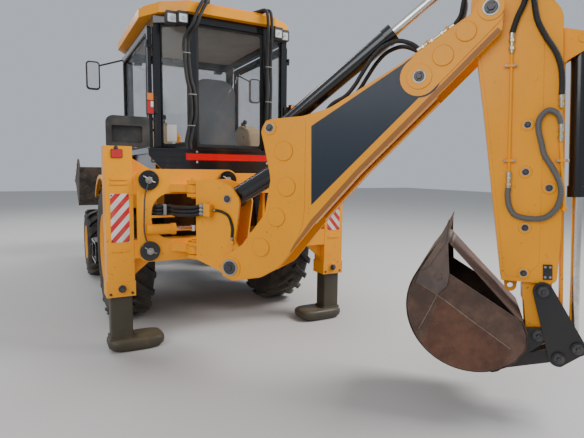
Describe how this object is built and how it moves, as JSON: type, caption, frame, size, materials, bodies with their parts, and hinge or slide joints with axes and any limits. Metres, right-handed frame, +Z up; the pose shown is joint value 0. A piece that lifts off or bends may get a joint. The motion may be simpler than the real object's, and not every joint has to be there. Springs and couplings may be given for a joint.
{
  "type": "backhoe loader",
  "caption": "Wheeled backhoe loader: a cab tractor with a front loader bucket and a side-shifting excavator arm with telescopic dipper and stabiliser legs.",
  "frame": {"origin": "middle of the whole model in plan, on the ground under the tyres", "axes": "+X to the machine's right, +Y forward from the excavator arm to the loader bucket, +Z up"},
  "size_m": [2.6718, 7.8576, 3.0998],
  "materials": {
    "black_paint": "satin",
    "chrome_rod": "polished",
    "cloth": "woven",
    "console": "matte",
    "glass": "clear",
    "grey_steel": "worn",
    "hose": "matte",
    "lens": "gloss",
    "plastic": "matte",
    "rust": "rough",
    "tyre": "matte",
    "yellow_paint": "satin"
  },
  "bodies": {
    "machine": {"chassis": "black_paint", "rear_frame": "yellow_paint", "rear_axle": "black_paint", "front_axle": "black_paint", "driveline": "black_paint", "loader_towers": "yellow_paint", "tanks": "black_paint", "cab_base": "black_paint", "cab_frame": "black_paint", "cab_roof": "yellow_paint", "cab_glass": "glass", "cab_interior": "console", "seat_cushion": "cloth", "fenders": "yellow_paint", "lamps": "lens", "mirrors": "plastic", "nose": "black_paint", "hoses_cab": "hose"},
    "hood": {"hood": "yellow_paint"},
    "door_left": {"door_left": "black_paint", "door_glass_left": "glass"},
    "door_right": {"door_right": "black_paint", "door_glass_right": "glass"},
    "knuckle_left": {"knuckle_left": "black_paint"},
    "knuckle_right": {"knuckle_right": "black_paint"},
    "wheel_front_left": {"rim_front_left": "yellow_paint", "tyre_front_left": "tyre"},
    "wheel_front_right": {"rim_front_right": "yellow_paint", "tyre_front_right": "tyre"},
    "wheel_rear_left": {"rim_rear_left": "yellow_paint", "tyre_rear_left": "tyre"},
    "wheel_rear_right": {"rim_rear_right": "yellow_paint", "tyre_rear_right": "tyre"},
    "loader_arms": {"loader_arms": "yellow_paint"},
    "lift_barrels": {"lift_barrels": "black_paint"},
    "lift_rods": {"lift_rods": "chrome_rod"},
    "tilt_barrels": {"tilt_barrels": "black_paint"},
    "tilt_rods": {"tilt_rods": "chrome_rod"},
    "loader_bucket": {"loader_bucket": "black_paint"},
    "leg_left": {"leg_left": "grey_steel"},
    "leg_right": {"leg_right": "grey_steel"},
    "carriage": {"carriage": "yellow_paint", "hoses_carriage": "hose"},
    "kingpost": {"kingpost": "yellow_paint", "hoses_kingpost": "hose"},
    "slew_rods": {"slew_rods": "chrome_rod"},
    "boom": {"boom": "yellow_paint", "hoses_boom": "hose"},
    "boom_barrel": {"boom_barrel": "black_paint"},
    "boom_rod": {"boom_rod": "chrome_rod"},
    "dipper_barrel": {"dipper_barrel": "black_paint"},
    "dipper_rod": {"dipper_rod": "chrome_rod"},
    "dipper_outer": {"dipper_outer": "yellow_paint", "hoses_dipper": "hose"},
    "dipper_inner": {"dipper_inner": "yellow_paint"},
    "bucket_barrel": {"bucket_barrel": "black_paint"},
    "bucket_rod": {"bucket_rod": "chrome_rod"},
    "tip_lever": {"tip_lever": "black_paint"},
    "bucket_link": {"bucket_link": "black_paint"},
    "digging_bucket": {"digging_bucket": "rust"}
  },
  "joints": [
    {"name": "steer_left", "type": "hinge", "parent": "machine", "child": "knuckle_left", "pos_m": [-0.889, 1.907, 0.482], "axis": [0, 0, 1], "range_deg": [-32, 32]},
    {"name": "spin_front_left", "type": "hinge", "parent": "knuckle_left", "child": "wheel_front_left", "pos_m": [-1.099, 1.907, 0.482], "axis": [1, 0, 0], "continuous": true},
    {"name": "spin_rear_left", "type": "hinge", "parent": "machine", "child": "wheel_rear_left", "pos_m": [-1.028, -0.273, 0.716], "axis": [1, 0, 0], "continuous": true},
    {"name": "steer_right", "type": "hinge", "parent": "machine", "child": "knuckle_right", "pos_m": [0.581, 1.907, 0.482], "axis": [0, 0, 1], "range_deg": [-32, 32]},
    {"name": "spin_front_right", "type": "hinge", "parent": "knuckle_right", "child": "wheel_front_right", "pos_m": [0.791, 1.907, 0.482], "axis": [1, 0, 0], "continuous": true},
    {"name": "spin_rear_right", "type": "hinge", "parent": "machine", "child": "wheel_rear_right", "pos_m": [0.72, -0.273, 0.716], "axis": [1, 0, 0], "continuous": true},
    {"name": "leg_left_slide", "type": "slide", "parent": "machine", "child": "leg_left", "axis": [0, 0, 1], "range_m": [0, 0.36]},
    {"name": "door_left_hinge", "type": "hinge", "parent": "machine", "child": "door_left", "pos_m": [-0.886, -0.989, 2], "axis": [0, 0, 1], "range_deg": [0, 85]},
    {"name": "leg_right_slide", "type": "slide", "parent": "machine", "child": "leg_right", "axis": [0, 0, 1], "range_m": [0, 0.36]},
    {"name": "door_right_hinge", "type": "hinge", "parent": "machine", "child": "door_right", "pos_m": [0.578, -0.989, 2], "axis": [0, 0, -1], "range_deg": [0, 85]},
    {"name": "hood_hinge", "type": "hinge", "parent": "machine", "child": "hood", "pos_m": [-0.154, 0.619, 1.698], "axis": [1, 0, 0], "range_deg": [0, 40]},
    {"name": "loader_lift", "type": "hinge", "parent": "machine", "child": "loader_arms", "pos_m": [-0.154, 0.727, 1.5], "axis": [1, 0, 0], "range_deg": [-22, 48]},
    {"name": "lift_barrel_swing", "type": "hinge", "parent": "machine", "child": "lift_barrels", "pos_m": [-0.154, 0.487, 0.65], "axis": [1, 0, 0], "range_deg": [-13.64, 29.51]},
    {"name": "lift_rod_slide", "type": "slide", "parent": "lift_barrels", "child": "lift_rods", "axis": [0, 0.958, 0.2869], "range_m": [-0.25635, 0.55694]},
    {"name": "loader_bucket_tilt", "type": "hinge", "parent": "loader_arms", "child": "loader_bucket", "pos_m": [-0.154, 2.92281, 1.00918], "axis": [1, 0, 0], "range_deg": [-95, 15]},
    {"name": "tilt_barrel_swing", "type": "hinge", "parent": "loader_arms", "child": "tilt_barrels", "pos_m": [-0.154, 1.65986, 1.54765], "axis": [1, 0, 0], "range_deg": [-0.55, 0.51]},
    {"name": "tilt_rod_slide", "type": "slide", "parent": "tilt_barrels", "child": "tilt_rods", "axis": [0, 0.9771, -0.2126], "range_m": [-0.08018, 0.49715]},
    {"name": "carriage_shift", "type": "slide", "parent": "machine", "child": "carriage", "axis": [1, 0, 0], "range_m": [-0.01, 0.97]},
    {"name": "slew", "type": "hinge", "parent": "carriage", "child": "kingpost", "pos_m": [-0.634, -1.639, 1.1], "axis": [0, 0, 1], "range_deg": [-125.3, 44.7], "deforming": ["hoses_carriage"]},
    {"name": "slew_rods_slide", "type": "slide", "parent": "carriage", "child": "slew_rods", "axis": [1, 0, 0], "range_m": [-0.1263, 0.0457]},
    {"name": "boom_lift", "type": "hinge", "parent": "kingpost", "child": "boom", "pos_m": [-0.35394, -1.96924, 0.797], "axis": [-0.7627, -0.6468, 0], "range_deg": [-60, 35]},
    {"name": "boom_barrel_swing", "type": "hinge", "parent": "kingpost", "child": "boom_barrel", "pos_m": [-0.38951, -1.92729, 1.336], "axis": [-0.7627, -0.6468, 0], "range_deg": [-63.18, 37.06]},
    {"name": "boom_rod_slide", "type": "slide", "parent": "boom_barrel", "child": "boom_rod", "axis": [0.5587, -0.6588, 0.5037], "range_m": [-0.26203, 0.44776]},
    {"name": "dipper_crowd", "type": "hinge", "parent": "boom", "child": "dipper_outer", "pos_m": [0.81659, -3.34948, 2.56925], "axis": [0.7627, 0.6468, 0], "range_deg": [-90, 20], "deforming": ["hoses_boom"]},
    {"name": "dipper_barrel_swing", "type": "hinge", "parent": "boom", "child": "dipper_barrel", "pos_m": [-0.13713, -2.22489, 1.87967], "axis": [-0.7627, -0.6468, 0], "range_deg": [-1.4, 0.7]},
    {"name": "dipper_rod_slide", "type": "slide", "parent": "dipper_barrel", "child": "dipper_rod", "axis": [0.5164, -0.609, 0.602], "range_m": [-0.54265, 0.12214]},
    {"name": "dipper_extend", "type": "slide", "parent": "dipper_outer", "child": "dipper_inner", "axis": [-0.0339, 0.0399, 0.9986], "range_m": [-1.2, 0]},
    {"name": "bucket_curl", "type": "hinge", "parent": "dipper_inner", "child": "digging_bucket", "pos_m": [1.06633, -3.64396, 0.53266], "axis": [0.7627, 0.6468, 0], "range_deg": [-168, 4]},
    {"name": "tip_lever_swing", "type": "hinge", "parent": "dipper_inner", "child": "tip_lever", "pos_m": [1.06923, -3.64738, 0.8293], "axis": [-0.7627, -0.6468, 0], "range_deg": [-2.95, 103.46]},
    {"name": "bucket_link_swing", "type": "hinge", "parent": "digging_bucket", "child": "bucket_link", "pos_m": [0.89751, -3.4449, 0.29166], "axis": [-0.7627, -0.6468, 0], "range_deg": [-91.16, 2.66]},
    {"name": "bucket_barrel_swing", "type": "hinge", "parent": "dipper_inner", "child": "bucket_barrel", "pos_m": [1.15053, -3.74324, 2.36699], "axis": [-0.7627, -0.6468, 0], "range_deg": [-0.7, 8.9]},
    {"name": "bucket_rod_slide", "type": "slide", "parent": "bucket_barrel", "child": "bucket_rod", "axis": [0.029, -0.0342, -0.999], "range_m": [-0.59, 0.016]}
  ],
  "couplings": [
    {"joint": "steer_right", "follows": "steer_left", "ratio": 1},
    {"joint": "lift_barrel_swing", "follows": "loader_lift", "ratio": 0.61068},
    {"joint": "lift_rod_slide", "follows": "loader_lift", "m_per_rad": 0.66241},
    {"joint": "tilt_barrel_swing", "follows": "loader_bucket_tilt", "ratio": 0.00049055},
    {"joint": "tilt_rod_slide", "follows": "loader_bucket_tilt", "m_per_rad": -0.29863},
    {"joint": "slew_rods_slide", "follows": "slew", "m_per_rad": 0.057296},
    {"joint": "boom_barrel_swing", "follows": "boom_lift", "ratio": 1.0446},
    {"joint": "boom_rod_slide", "follows": "boom_lift", "m_per_rad": -0.42567},
    {"joint": "dipper_barrel_swing", "follows": "dipper_crowd", "ratio": 0.010041},
    {"joint": "dipper_rod_slide", "follows": "dipper_crowd", "m_per_rad": 0.34419},
    {"joint": "tip_lever_swing", "follows": "bucket_curl", "ratio": -0.61284},
    {"joint": "bucket_link_swing", "follows": "bucket_curl", "ratio": 0.53966},
    {"joint": "bucket_barrel_swing", "follows": "bucket_curl", "ratio": -0.05},
    {"joint": "bucket_rod_slide", "follows": "bucket_curl", "m_per_rad": 0.20054}
  ]
}
